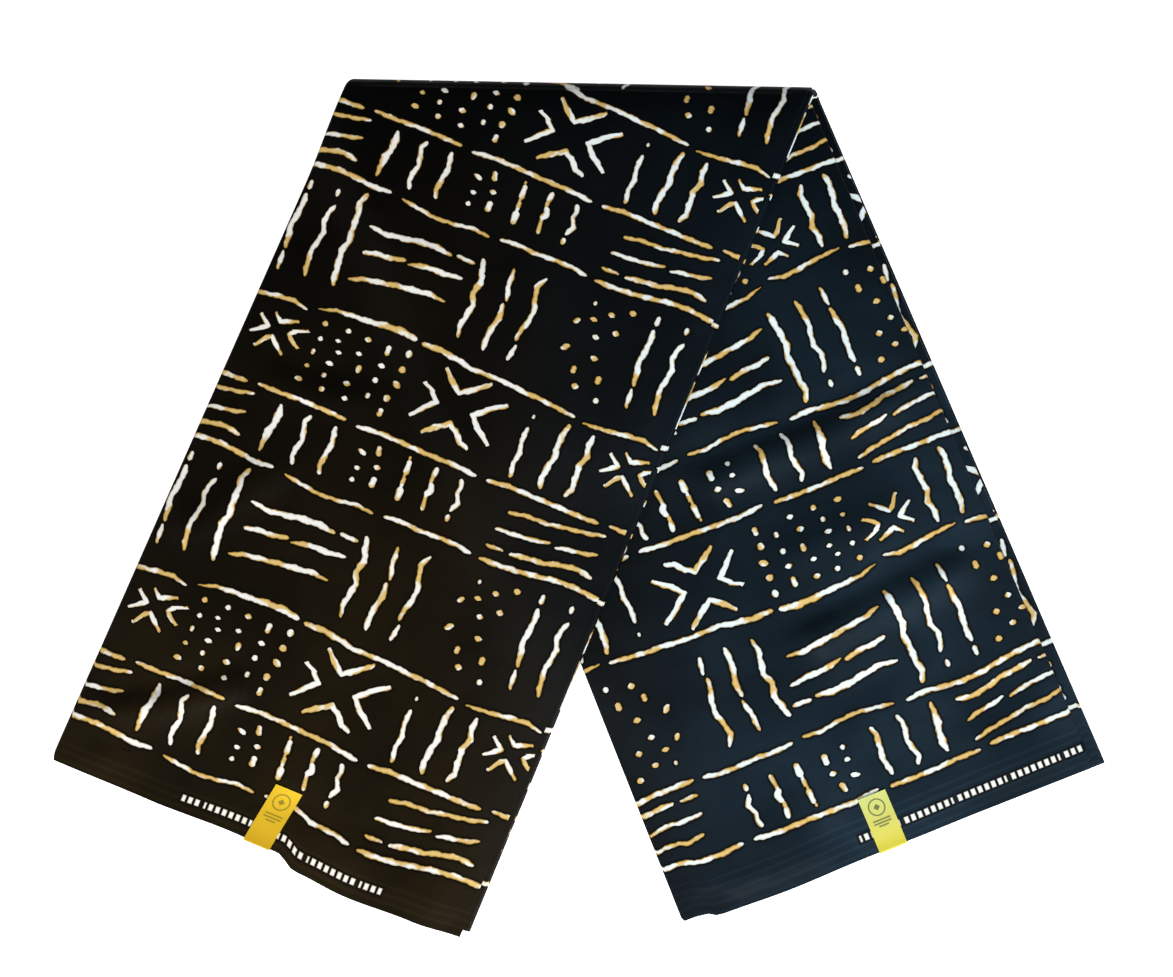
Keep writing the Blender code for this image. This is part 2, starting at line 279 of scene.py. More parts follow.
# Creases of the layer that shows on each leg: leg, points in plan, half width, height.
# A height under zero is a trough pressed into the puffed layer.
PUFF = 0.0016               # how far the top layer stands off the one under it
PUFF_SIDE = 0.020           # the puff fades in over this much at a leg's sides and end
CREASES = (
    ("left", ((-0.372, -0.187), (-0.336, -0.166)), 0.006, -0.0029),
    ("left", ((-0.362, -0.200), (-0.334, -0.186)), 0.008, 0.0036),
    ("left", ((-0.340, -0.136), (-0.290, -0.131), (-0.241, -0.115)), 0.007, -0.0031),
    ("left", ((-0.325, -0.150), (-0.285, -0.146), (-0.240, -0.133)), 0.010, 0.0042),
    ("left", ((-0.270, 0.003), (-0.234, 0.031)), 0.010, -0.0027),
    ("left", ((-0.272, -0.022), (-0.215, 0.020)), 0.013, 0.0040),
    ("left", ((-0.216, 0.102), (-0.184, 0.091), (-0.135, 0.083)), 0.010, -0.0023),
    ("left", ((-0.205, 0.081), (-0.160, 0.068)), 0.012, 0.0034),
    ("left", ((-0.212, 0.193), (-0.177, 0.197)), 0.009, -0.0022),
    ("left", ((-0.117, 0.191), (-0.071, 0.173)), 0.010, -0.0023),
    ("left", ((-0.110, 0.172), (-0.050, 0.152)), 0.012, 0.0030),
    ("left", ((-0.195, -0.215), (-0.120, -0.245)), 0.012, -0.0018),
    ("left", ((-0.110, 0.060), (-0.020, 0.020)), 0.016, 0.0018),
    ("right", ((0.070, 0.027), (0.155, 0.056), (0.205, 0.081), (0.250, 0.097)), 0.008, -0.0032),
    ("right", ((0.096, 0.012), (0.160, 0.038), (0.215, 0.064)), 0.012, 0.0054),
    ("right", ((0.148, -0.087), (0.197, -0.058), (0.240, -0.037), (0.279, -0.028)), 0.008, -0.0034),
    ("right", ((0.165, -0.100), (0.210, -0.078), (0.262, -0.054)), 0.012, 0.0060),
    ("right", ((0.150, -0.040), (0.215, -0.012)), 0.014, 0.0036),
    ("right", ((0.268, -0.150), (0.304, -0.129)), 0.011, -0.0025),
    ("right", ((0.180, -0.138), (0.210, -0.127)), 0.011, -0.0022),
    ("right", ((0.174, -0.232), (0.183, -0.256)), 0.007, -0.0025),
    ("right", ((0.060, -0.296), (0.092, -0.280)), 0.007, -0.0025),
    ("right", ((0.110, -0.268), (0.170, -0.252)), 0.008, 0.0020),
)


def relief(leg, plan, across, distance_to_end):
    """Height that the showing layer stands proud: puff, plus ridges and less troughs, never below 0.

    Each crease adds height exp(-(distance from its line / half width)^2).
    """
    edge = smooth(across / PUFF_SIDE) * smooth((STRIP_WIDTH - across) / PUFF_SIDE)
    edge = edge * smooth(distance_to_end / PUFF_SIDE)
    total = PUFF * np.ones(plan.shape[:-1])
    for crease_leg, places, half_width, height in CREASES:
        if crease_leg != leg:
            continue
        places = np.array(places)
        away = np.full(plan.shape[:-1], 1.0)
        for start, end in zip(places[:-1], places[1:]):
            along = (plan - start) @ (end - start) / np.sum((end - start) ** 2)
            nearest = start + np.clip(along, 0.0, 1.0)[..., None] * (end - start)
            away = np.minimum(away, np.linalg.norm(plan - nearest, axis=-1))
        total = total + height * np.exp(-(away / half_width) ** 2)
    return np.maximum(total, 0.0) * edge


# How the print lies on the cloth: the small star's place, across from the outer left
# turn's middle and down the leg from the fold's left end, on each leg
PRINT_ACROSS = {"left": 0.0288, "right": 0.0271}
PRINT_DOWN_LEFT = 0.1481
PRINT_DOWN_RIGHT = -0.1765
PRINT_TURN = 0.010          # the one becomes the other over this much of the outer turn


def left_leg_surface(across, height, layer, lines):
    """Left leg: plan from the edges' shares, height above the lower leg less the eased drop."""
    from_left, from_right, drop = lines[:, 0:1], lines[:, 1:2], lines[:, 2:3]
    short = np.interp(layer, np.arange(LAYERS), LAYER_TABLE[:, 1])
    plan, down = leg_plan("left", across[None, :], from_left, from_right, short[None, :])
    plan = plan + slip(height, 0.0)[None, :, None] * FOLD_ALONG
    share = across[None, :] / STRIP_WIDTH
    corners = leg_corners("left")
    edge_length = np.linalg.norm(corners[2] - corners[0]) * (1 - share)
    edge_length = edge_length + np.linalg.norm(corners[3] - corners[1]) * share
    to_end = edge_length * (1 - from_left * (1 - share) - from_right * share)
    shown = smooth(1.0 - layer)[None, :]
    level = (STACK + LEG_GAP) * (1.0 - smooth(drop)) + height[None, :] * swell(plan)
    level = level + shown * relief("left", plan, across[None, :], to_end)
    return np.dstack([plan, level]), down


def right_leg_surface(across, height, layer, shares):
    """Right leg: the same stack turned over, so a height h lies at STACK - h."""
    share = shares[:, None]
    short = np.interp(layer, np.arange(LAYERS), LAYER_TABLE[:, 2])
    plan, down = leg_plan("right", across[None, :], share, share, short[None, :])
    slide = slip(height, np.pi)[None, :] + UNDER_DRIFT * share * height[None, :] / STACK
    plan = plan + slide[..., None] * FOLD_ALONG
    shown = smooth(layer - LAYERS + 2)[None, :]
    to_end = RIGHT_LEG_LENGTH * (1 - share) + 0 * plan[..., 0]
    level = (STACK - height[None, :]) * swell(plan)
    level = level + shown * relief("right", plan, across[None, :], to_end)
    return np.dstack([plan, level]), down


def bend_surface(across, height, angles):
    """Top fold: radius (sin a, cos a) round the fold line, each layer carried along it by its slip."""
    angle = angles[:, None]
    radius = BEND_INNER + height[None, :]
    plan = lerp(FOLD_LEFT, FOLD_RIGHT, across / STRIP_WIDTH)[None, :, :]
    plan = plan + (radius * np.sin(angle))[..., None] * FOLD_OUT
    plan = plan + slip(height[None, :], angle)[..., None] * FOLD_ALONG
    return np.dstack([plan, BEND_HEIGHT + radius * np.cos(angle)])


def cloth_surface(across, height, layer, path):
    """All stations from the left leg's end to the right leg's: points and flat cloth coordinates."""
    lines = left_leg_lines()
    angles = np.pi * np.arange(1, BEND_STEPS) / BEND_STEPS
    shares = np.linspace(0.0, 1.0, RIGHT_STEPS + 1)
    left, left_down = left_leg_surface(across, height, layer, lines)
    bend = bend_surface(across, height, angles)
    right, right_down = right_leg_surface(across, height, layer, shares)
    beside_left = np.array([-LEFT_DOWN[1], LEFT_DOWN[0]])
    beside_right = np.array([-RIGHT_DOWN[1], RIGHT_DOWN[0]])
    left_scale = (FOLD_RIGHT - FOLD_LEFT) @ beside_left / STRIP_WIDTH
    right_scale = (FOLD_RIGHT - FOLD_LEFT) @ beside_right / STRIP_WIDTH

    past_turn = smooth(-path / PRINT_TURN + 0.5)
    right_start = PRINT_ACROSS["left"] * (1 - past_turn) + PRINT_ACROSS["right"] * past_turn
    left_u = path * left_scale - PRINT_ACROSS["left"]
    right_u = path * right_scale - right_start
    left_v = left_down - PRINT_DOWN_LEFT
    right_v = PRINT_DOWN_RIGHT - right_down
    share = smooth(angles / np.pi)[:, None]
    bend_u = left_u[None, :] * (1 - share) + right_u[None, :] * share
    bend_v = left_v[:1] * (1 - share) + right_v[:1] * share
    points = np.concatenate([left[::-1], bend, right])
    left_u = np.broadcast_to(left_u, left_v.shape)
    right_u = np.broadcast_to(right_u, right_v.shape)
    u = np.concatenate([left_u, bend_u, right_u])
    v = np.concatenate([left_v[::-1], bend_v, right_v])
    return points, np.dstack([u, v])


SHARP_EDGE = np.radians(50.0)


def new_object(name, data):
    """An object that holds the given data, linked to the scene."""
    thing = bpy.data.objects.new(name, data)
    bpy.context.scene.collection.objects.link(thing)
    return thing


def carried_sheet(name, points, flat, map_name):
    """One closed thin sheet from its stations, with the flat sheet's coordinates as its UV map.

    Each station is a ring of points: the sheet's upper face, then its lower face backwards.
    """
    stations, ring = points.shape[:2]
    station, place = np.meshgrid(np.arange(stations - 1), np.arange(ring), indexing="ij")
    here, there = station * ring, (station + 1) * ring
    after = (place + 1) % ring
    sides = np.dstack([here + place, there + place, there + after, here + after]).reshape(-1, 4)
    first = np.arange(ring // 2 - 1)
    start_cap = np.column_stack([first, first + 1, ring - 2 - first, ring - 1 - first])
    last = (stations - 1) * ring
    end_cap = last + np.column_stack([first, ring - 1 - first, ring - 2 - first, first + 1])
    faces = np.vstack([sides, start_cap, end_cap])

    mesh = bpy.data.meshes.new(name)
    mesh.from_pydata(points.reshape(-1, 3), [], faces)
    corners = np.zeros(len(mesh.loops), dtype=np.int32)
    mesh.loops.foreach_get("vertex_index", corners)
    flat_map = mesh.uv_layers.new(name=map_name)
    flat_map.data.foreach_set("uv", flat.reshape(-1, 2)[corners].astype(np.float32).ravel())
    mesh.shade_smooth()
    mesh.set_sharp_from_angle(angle=SHARP_EDGE)
    return new_object(name, mesh)


def make_cloth():
    """The folded cloth as one closed thin sheet: the section's upper and lower face carried along."""
    section = ribbon_section()
    half = section[:, 2:4] * CLOTH_THICK / 2
    outline = np.vstack([section[:, :2] + half, (section[:, :2] - half)[::-1]])
    layer = np.concatenate([section[:, 4], section[::-1, 4]])
    path = np.concatenate([section[:, 5], section[::-1, 5]])
    points, flat = cloth_surface(outline[:, 0], outline[:, 1], layer, path)
    return carried_sheet("wax_print_cloth", points, flat, "flat_cloth")


cloth = make_cloth()
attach(cloth, "root")
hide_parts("cloth")

# The cloth's print
# A black ground with hand-drawn marks left cream or filled with ochre: bands of stars
# and dots, of short dashes, and of long dashes and ladders, with a broken line between
# each two. One repeat is charted here in millimetres, from the small star's column
# and the line over it; the wobble of each mark is seeded.

REPEAT_ACROSS = 268.0
REPEAT_DOWN = 212.0
SEAM = -26.5                # a repeat starts here across, so its seam cuts no mark
SEAM_TOP_LINE = 16.0        # and here for the three broken lines, which run on further
SEAM_STAR_LINE = -2.0
SEAM_SHORT_LINE = 41.0
SEAM_DOWN = -4.6
LEFT_PRINT_END = 340.5      # the print stops here, and a plain band follows
RIGHT_PRINT_END = -779.0
SHADE = {"w": 0.0, "c": 0.4, "o": 1.0}      # white, cream, ochre

# A mark: start and end along its line, its one place beside the line, its places at even
# steps from start to end, or pairs of along and beside, half width, and its shades
LINE_UNDER_TALL = (
    (20, 95, (5.6, 1.8, 0.8, 0.3, -1.0, -1.2, 0.8), (0.6, 1.3, 1.6, 1.8, 2.1, 2.3, 2.1), "ooocwwwwcooccw"),
    (99, 219, (2.0, 1.4, 3.0, 5.6, 5.2, 5.4, 6.7, 7.0, 8.4, 9.6), (1.9, 2.0, 1.6, 1.5, 1.7, 1.5, 1.4),
     "ocoocwwwcowwwwwoowoocw"),
    (225, 281, (11.4, 10.6, 9.4, 7.6, 6.6, 9.2), (0.9, 1.3, 1.5, 1.7, 1.5, 1.0), "ooooocwooocw"),
)
LINE_UNDER_STARS = (
    (2, 70, (71.2, 71.4, 70.6, 70.8, 71.4), 1.5, "coooocwwoocoo"),
    (78, 171, (72.6, 70.9, 71.4, 72.2, 72.4, 74.0), 1.6, "wwwcccowoooocwww"),
    (178.5, 262.5, (74.2, 72.2, 72.6, 72.5, 72.9, 72.6), 1.6, "wooowwwowwocoo"),
)
LINE_UNDER_SHORT = (
    (45.5, 113.4, (123.4, 125.2, 127.0, 126.2, 124.0, 125.2), 1.3, "oowwoooowwcoo"),
    (121, 188, (124.0, 123.0, 123.9, 123.2, 123.2, 125.0), 1.5, "cwwwocwwoccww"),
    (194, 304.7, (125.6, 125.8, 124.8, 123.0, 120.6, 120.0, 121.2, 123.0, 122.0), 1.7,
     "oocwccowocwoocoocwwww"),
)

DOTS = (
    ((11.4, 15.4, 28.8, 2.0, "o"), (23.0, 26.4, 29.9, 1.8, "w"), (33.0, 37.2, 28.6, 1.4, "c"),
     (44.3, 47.3, 28.4, 1.9, "o"), (55.2, 58.8, 27.4, 3.0, "o")),
    ((10.4, 13.8, 46.1, 2.2, "w"), (20.2, 22.8, 42.2, 2.0, "w"), (27.6, 30.4, 45.6, 2.1, "w"),
     (36.8, 40.0, 42.6, 2.8, "w"), (46.0, 49.6, 42.4, 1.9, "cw"), (56.0, 59.8, 45.5, 2.2, "co")),
    ((10.6, 14.4, 61.5, 2.3, "oc"), (22.8, 25.8, 59.3, 2.1, "w"), (31.4, 37.4, 63.2, 1.8, "oc"),
     (45.4, 49.4, 59.9, 2.5, "wo"), (56.2, 59.6, 63.2, 2.2, "w")),
    ((11.0, 18.4, 77.8, 1.9, "wwo"), (24.4, 27.8, 77.4, 2.4, "w"), (35.2, 39.2, 77.2, 2.1, "wc"),
     (47.6, 51.8, 77.0, 1.7, "wc")),
    ((9.2, 14.6, 93.2, 2.2, "w"), (21.2, 25.8, 92.6, 2.7, "o"), (32.2, 37.0, (91.8, 93.6), 2.9, "co"),
     (43.6, 48.8, 90.1, 2.4, "oc"), (54.2, 60.4, 89.7, 1.9, "wo")),
)
STAR_DASHES = (
    ((18.8, 21.8, 192.0, 1.1, "w"), (28.6, 66.4, (191.6, 190.7, 192.6, 191.6, 193.0), 1.6, "wwwwwwwo")),
    ((15.6, 65.8, (217.4, 215.8, 215.4, 216.4, 214.6, 213.8, 215.0), 2.0, "occwwwwwwo"),),
    ((16.4, 64.4, (236.0, 235.4, 237.2, 234.6, 235.4, 236.2, 233.4), 1.9, "wwwoowwwcc"),),
)
SMALL_STAR_SIDES = (
    ((22.8, 38.6, ((24.2, -16.0), (27.2, -11.6), (30.0, -8.4), (33.6, -12.4), (38.0, -18.2)), 1.6, "cwwww"),),
    ((22.2, 38.0, ((23.4, 19.4), (26.6, 11.4), (30.4, 8.2), (33.4, 11.2), (37.0, 16.6)), 1.6, "owwooo"),),
)
SMALL_STAR_ENDS = (
    ((-7.2, 11.6, ((-6.4, 19.6), (-1.0, 24.4), (3.0, 22.4), (10.6, 19.8)), 1.5, "owwoo"),),
    ((-12.8, 9.2, ((-11.4, 46.0), (-6.6, 39.4), (-2.8, 36.0), (1.6, 40.0), (8.6, 45.4)), 1.5, "wooowwwoo"),),
)
LARGE_STAR_SIDES = (
    ((25.2, 52.0, ((26.6, 112.2), (29.6, 118.2), (36.2, 124.4), (43.4, 117.6), (50.8, 110.4)),
      1.8, "wwww"),),
    ((19.0, 52.2, ((20.4, 171.2), (27.6, 161.0), (35.6, 152.4), (43.4, 159.4), (51.2, 169.6)),
      1.9, "wwwww"),),
)
LARGE_STAR_ENDS = (
    ((121.4, 156.6, ((122.8, 12.2), (129.0, 18.6), (137.2, 24.4), (146.0, 18.6), (155.8, 10.6)),
      1.9, "coowwwcoc"),),
    ((121.6, 158.2, ((122.6, 58.6), (130.0, 53.4), (139.4, 47.2), (146.0, 51.0), (151.6, 57.0),
                     (157.4, 58.8)), 1.9, "ooocowwwww"),),
)

SHORT_DASHES = (
    ((78.4, 115.0, (23.4, 24.4, 24.0, 22.2, 22.0, 21.8), (1.8, 2.4, 2.2, 2.4, 2.0, 1.2), "wwwwwcoo"),),
    ((77.8, 115.2, (46.0, 43.2, 45.6, 46.8, 45.2, 45.2, 47.0), 1.7, "wwcwwww"),),
    ((78.2, 114.2, (65.0, 66.2, 67.2, 66.0, 65.2, 67.2), 1.8, "wwcwwoow"),),
    ((86.2, 89.8, ((86.2, 87.8), (89.8, 90.6)), 2.4, "w"), (98.2, 101.2, 90.3, 2.2, "w"),
     (106.8, 110.2, 90.1, 1.8, "w")),
    ((79.4, 86.6, (99.2, 100.6), 1.9, "co"), (92.4, 96.0, 103.2, 2.3, "c"),
     (101.0, 109.0, 104.5, 2.2, "wwo")),
)
BEADED_DASHES = (
    ((77.8, 81.4, 122.0, 0.9, "o"), (80.6, 91.4, (122.8, 123.4), 1.9, "wwo"),
     (90.0, 94.0, 123.2, 0.9, "o"), (93.0, 98.4, 123.8, 1.6, "o"),
     (97.2, 101.4, 124.0, 1.2, "w"), (100.4, 110.6, (124.4, 124.8), 2.3, "wwo")),
    ((78.0, 86.4, (142.8, 142.2), 1.8, "wwo"), (85.0, 91.0, 142.2, 1.3, "o"),
     (89.4, 99.4, (143.0, 144.4, 142.6), 2.2, "www"), (98.2, 110.2, (142.6, 144.0), 1.4, "wooc")),
    ((79.6, 91.0, (162.2, 163.6, 162.6), 1.6, "wc"), (89.6, 103.4, (162.8, 165.8, 162.8), 1.8, "wwww"),
     (105.6, 110.8, 162.8, 1.6, "wo")),
)
SHORT_LADDER = (
    ((201, 271, (89.2, 86.6, 86.4, 84.0, 82.0, 78.8), 1.4, "ooooccoooow"),),
    ((197, 237, (102.6, 102.0, 100.6, 98.0), 1.4, "cwwcco"),
     (240.5, 270.5, (99.6, 97.2, 96.0, 93.0), 1.4, "wwwooo")),
    ((195, 208.6, 115.4, 1.3, "oc"),
     (212.8, 273, (115.8, 113.8, 112.8, 109.4, 107.6, 109.8), 1.7, "ccocooooocc")),
)

LONG_DASHES = (
    ((132.8, 139.8, -21.4, 1.7, "wc"),
     (143.0, 185.8, (-21.6, -20.8, -21.6, -22.6, -21.0, -19.8), 1.9, "wwwwwwoo"),
     (187.6, 202.2, (-20.0, -18.8), 1.6, "wwo")),
    ((132.6, 138.0, 0.2, 1.6, "wc"),
     (144.0, 199.6, (1.8, -1.2, -1.6, 1.0, 0.2, -1.4, -1.0, 0.0, 1.4), 1.7, "wwwwwwwooo")),
    ((128.6, 198.4, (21.4, 18.6, 20.2, 20.2, 21.4, 18.8, 19.8, 21.2, 22.6), 2.1, "occwwcwwwwwwo"),),
)
TALL_LADDER = (
    ((31.5, 94.4, (149.6, 151.4, 149.6, 147.4, 146.6, 148.0), (1.2, 1.7, 1.9, 2.2, 2.1, 1.6), "wwwwwwwwo"),
     (97.4, 111.6, (146.8, 147.4), 1.6, "cwwo")),
    ((33.6, 65.8, (168.4, 166.4, 166.0, 163.4), 1.7, "cwwcoo"),
     (67.6, 108.0, (165.6, 162.6, 162.4, 160.6), (1.2, 1.8, 1.9, 1.2), "ooowwwwww")),
    ((30.6, 102.6, (189.4, 185.8, 184.2, 182.4, 181.2, 179.4, 180.6), (1.3, 1.6, 1.7, 1.7, 2.0, 1.7, 1.1),
      "ooowwcoowwwwcoo"),),
)
LONG_DASHES_RIGHT = (
    ((141.4, 200.8, (116.0, 118.2, 120.8, 118.6, 121.8, 120.4, 119.0, 121.0),
      (2.2, 2.0, 2.1, 1.8, 2.0, 1.7, 1.3), "wwwwoocwwwco"),),
    ((140.0, 164.0, (139.0, 139.8, 142.6), 1.6, "occwwo"),
     (166.0, 202.4, (141.0, 142.6, 140.6, 139.6, 140.6), 1.9, "ccoocwwww")),
    ((137.4, 187.2, (162.6, 158.4, 160.6, 163.0, 162.6, 160.0, 159.4), 1.7, "wcooowwwwoco"),
     (189.6, 202.4, (161.2, 159.0), 1.6, "www")),
)
SCATTERED_DOTS = (
    ((155.0, 159.6, ((155.0, 194.6), (159.6, 192.8)), 1.9, "oc"),
     (175.0, 180.6, ((175.0, 194.8), (180.6, 192.0)), 2.2, "oc")),
    ((139.4, 142.6, 201.1, 1.2, "c"), (150.4, 153.6, 204.4, 2.6, "o"),
     (187.8, 193.4, 204.9, 1.9, "o")),
    ((142.8, 146.2, 214.9, 2.7, "oc"), (161.6, 165.2, 210.5, 2.3, "c"),
     (176.0, 179.8, 215.3, 2.7, "o"), (199.0, 203.4, 210.3, 2.4, "oc")),
    ((135.8, 139.8, 228.4, 2.7, "o"), (153.6, 157.8, 222.6, 2.3, "oc"),
     (188.2, 194.2, 223.8, 2.2, "o"), (203.4, 207.2, 227.8, 2.2, "w")),
)

# A row of plain blocks near each finished edge: start, end and place down the cloth
SELVEDGE_ROWS = (
    (69.0, 221.0, 357.7),
    (-332.0, -165.0, -801.9),
)
BLOCK_PITCH = 5.0
BLOCK_HALF_WIDTH = 1.5
BLOCK_HALF_HEIGHT = 2.2
BLOCK_GROUP = 40.0          # once in this length a wider gap cuts half a block away
THREAD_PITCH = 5.6          # between the faint threads of the plain band
THREAD_START = 8.0          # from the print's end to the first of them

CURVE_STEPS = 256           # entries of a curve node's own table
LINE_MARGIN = 3.0           # length kept free at both ends of a block
PICK_STEP = 0.05            # half width of the jump to the next line's curve
NO_MARK = -60.0             # the edge distance where there is no mark
RIM_ROOM = 0.6              # a mark's shade is kept this far past its edge
PRINT_BLUR = 0.3            # half width of a mark's soft edge

# The hand's wobble: a long mark sways and swells, slowly over a length drawn for each
# mark and quickly over a fixed one, and a shorter one only bulges
LONG_MARK = 12.0
SLOW_SWAY, QUICK_SWAY, QUICK_SWAY_LENGTH = 0.18, 0.13, 5.3
SLOW_SWELL, QUICK_SWELL, QUICK_SWELL_LENGTH = 0.13, 0.06, 4.3
SHORT_BULGE = 0.12
TAPER = 7.0                 # a long mark grows to its full width over this much
TAPER_SHARE = 0.74          # of its charted width at its ends
TAPER_GROWTH = 0.30


def eased(values, share):
    """One value, or values at even steps read at a share of the way and eased between them."""
    values = np.atleast_1d(np.array(values, dtype=float))
    if len(values) == 1:
        return values[0] + 0.0 * share
    place = np.clip(share, 0.0, 1.0) * (len(values) - 1)
    row = np.minimum(place.astype(int), len(values) - 2)
    part = place - row
    part = 0.5 * part + 0.5 * smooth(part)
    return values[row] * (1 - part) + values[row + 1] * part


def line_of_marks(marks, place, hand):
    """Centre, half width and ochre share along one line of marks, at each place in millimetres.

    The half width is w sqrt(1 - (1 - reach / w)^2) near an end, where reach is the
    distance to it, and below zero beyond it. A slanted stretch is widened by
    sqrt(1 + slope^2), because the width is measured square to the line's axis.
    """
    centre = np.full(place.shape, np.mean(marks[0][2]))
    half = np.full(place.shape, NO_MARK)
    ochre = np.zeros(place.shape)
    for start, end, beside, width, shades in marks:
        share = (place - start) / (end - start)
        if np.ndim(beside) == 2:
            pairs = np.array(beside)
            middle = np.interp(place, pairs[:, 0], pairs[:, 1])
        else:
            middle = eased(beside, share)
        width = eased(width, share)
        slope = np.gradient(middle, place)
        reach = np.minimum(place - start, end - place)
        phase = hand.uniform(0, 2 * np.pi, 3)
        length = hand.uniform(9.0, 15.0, 2)
        if end - start > LONG_MARK:
            middle = middle + SLOW_SWAY * np.sin(2 * np.pi * place / length[0] + phase[0])
            middle = middle + QUICK_SWAY * np.sin(2 * np.pi * place / QUICK_SWAY_LENGTH + phase[2])
            width = width * (1.0 + SLOW_SWELL * np.sin(2 * np.pi * place / length[1] + phase[1]))
            width = width * (1.0 + QUICK_SWELL * np.sin(2 * np.pi * place / QUICK_SWELL_LENGTH + phase[0]))
            width = width * (TAPER_SHARE + TAPER_GROWTH * smooth(reach / TAPER))
        else:
            width = width * (1.0 + SHORT_BULGE * np.sin(2 * np.pi * share + phase[2]))
        cap = np.minimum(width, (end - start) / 2)
        rounded = np.sqrt(np.clip(1.0 - (1.0 - np.clip(reach / cap, 0.0, 1.0)) ** 2, 0.0, 1.0))
        wide = width * rounded * np.sqrt(1.0 + np.minimum(slope ** 2, 3.0))
        wide = np.where(reach > 0.0, wide, reach)
        shade = eased([SHADE[letter] for letter in shades], share)
        nearer = wide > half
        centre, ochre = np.where(nearer, middle, centre), np.where(nearer, shade, ochre)
        half = np.where(nearer, wide, half)
    return centre, half, ochre


def math_node(tree, operation, *values):
    """One Math node on sockets or plain numbers; gives its output socket."""
    node = tree.nodes.new("ShaderNodeMath")
    node.operation = operation
    for socket, value in zip(node.inputs, values):
        if isinstance(value, bpy.types.NodeSocket):
            tree.links.new(value, socket)
        else:
            socket.default_value = value
    return node.outputs[0]


def map_node(tree, value, low, high, to_low=0.0, to_high=1.0, easing="LINEAR"):
    """One clamped Map Range node; gives its output socket."""
    node = tree.nodes.new("ShaderNodeMapRange")
    node.interpolation_type = easing
    tree.links.new(value, node.inputs["Value"])
    for name, number in (("From Min", low), ("From Max", high), ("To Min", to_low), ("To Max", to_high)):
        node.inputs[name].default_value = number
    return node.outputs[0]


def curve_node(tree, value, places, heights):
    """One Float Curve node through the given points, straight between them; gives its output socket."""
    node = tree.nodes.new("ShaderNodeFloatCurve")
    mapping = node.mapping
    mapping.use_clip = False
    curve = mapping.curves[0]
    while len(curve.points) < len(places):
        curve.points.new(0.0, 0.0)
    for point, place, height in zip(curve.points, places, heights):
        point.location = (place, height)
        point.handle_type = "VECTOR"
    mapping.update()
    tree.links.new(value, node.inputs["Value"])
    return node.outputs[0]


def add_lines(tree, paint, along, beside, lines, hand):
    """Adds a block of parallel lines of marks to the print's three fields.

    paint holds them: the edge distance, above zero inside a mark, the ochre share, and a
    place's offset from its mark's middle. A step curve picks the nearest line, the lines'
    profiles lie end to end in three curves, and the edge distance is the half width less
    the offset. A block takes the larger distance and adds its share and offset, 0 off its marks.
    """
    edge, ochre, lean = paint
    starts = [mark[0] for line in lines for mark in line]
    ends = [mark[1] for line in lines for mark in line]
    low = min(starts) - LINE_MARGIN
    length = max(ends) - min(starts) + 2 * LINE_MARGIN
    total = length * len(lines)
    place = np.linspace(0.0, total, CURVE_STEPS)
    number = np.minimum((place / length).astype(int), len(lines) - 1)
    profile = np.zeros((3, CURVE_STEPS))
    sides = []
    for i, line in enumerate(lines):
        part = number == i
        profile[:, part] = line_of_marks(line, place[part] - i * length + low, hand)
        inside = part & (profile[1] > 0)
        nearest = np.min(profile[0][inside] - profile[1][inside])
        farthest = np.max(profile[0][inside] + profile[1][inside])
        sides.append((nearest, farthest))

    here = map_node(tree, along, low, low + length, 0.0, length)
    if len(lines) > 1:
        borders = [(sides[i][1] + sides[i + 1][0]) / 2 for i in range(len(lines) - 1)]
        jumps = [border + step for border in borders for step in (-PICK_STEP, PICK_STEP)]
        places = [sides[0][0]] + jumps + [sides[-1][1]]
        picks = [length * i for i in range(len(lines)) for _ in range(2)]
        here = math_node(tree, "ADD", here, curve_node(tree, beside, places, picks))
    centre = curve_node(tree, here, place, profile[0])
    half = curve_node(tree, here, place, profile[1])
    shade = curve_node(tree, here, place, profile[2])
    offset = math_node(tree, "SUBTRACT", beside, centre)
    inside = math_node(tree, "SUBTRACT", half, math_node(tree, "ABSOLUTE", offset))
    near = math_node(tree, "GREATER_THAN", inside, -RIM_ROOM)
    edge = math_node(tree, "MAXIMUM", edge, inside)
    ochre = math_node(tree, "MULTIPLY_ADD", near, shade, ochre)
    return edge, ochre, math_node(tree, "MULTIPLY_ADD", near, offset, lean)


def wrap_node(tree, value, low, length):
    """A coordinate brought into one repeat that starts at low."""
    return math_node(tree, "WRAP", value, low + length, low)


def within_node(tree, half, value, middle):
    """How far a value lies inside a band: half - |value - middle|."""
    away = math_node(tree, "ABSOLUTE", math_node(tree, "SUBTRACT", value, middle))
    return math_node(tree, "SUBTRACT", half, away)


def flat_millimetres(tree, map_name):
    """The two coordinates of a flat sheet's UV map, in millimetres."""
    flat = tree.nodes.new("ShaderNodeUVMap")
    flat.uv_map = map_name
    parts = tree.nodes.new("ShaderNodeSeparateXYZ")
    tree.links.new(flat.outputs[0], parts.inputs[0])
    return [math_node(tree, "MULTIPLY", part, 1000.0) for part in parts.outputs[:2]]


def mix_node(tree, factor, first, second, mode="MIX"):
    """Mixes two colours; gives the output socket."""
    node = tree.nodes.new("ShaderNodeMix")
    node.data_type = "RGBA"
    node.blend_type = mode
    for name, value in (("Factor_Float", factor), ("A_Color", first), ("B_Color", second)):
        socket = next(item for item in node.inputs if item.identifier == name)
        if isinstance(value, bpy.types.NodeSocket):
            tree.links.new(value, socket)
        else:
            socket.default_value = value
    return next(item for item in node.outputs if item.identifier == "Result_Color")


def noise_node(tree, vector, scale, detail, roughness=0.5):
    """A 3-D noise of a vector; gives its value socket."""
    node = tree.nodes.new("ShaderNodeTexNoise")
    node.inputs["Scale"].default_value = scale
    node.inputs["Detail"].default_value = detail
    node.inputs["Roughness"].default_value = roughness
    tree.links.new(vector, node.inputs["Vector"])
    return node.outputs[0]


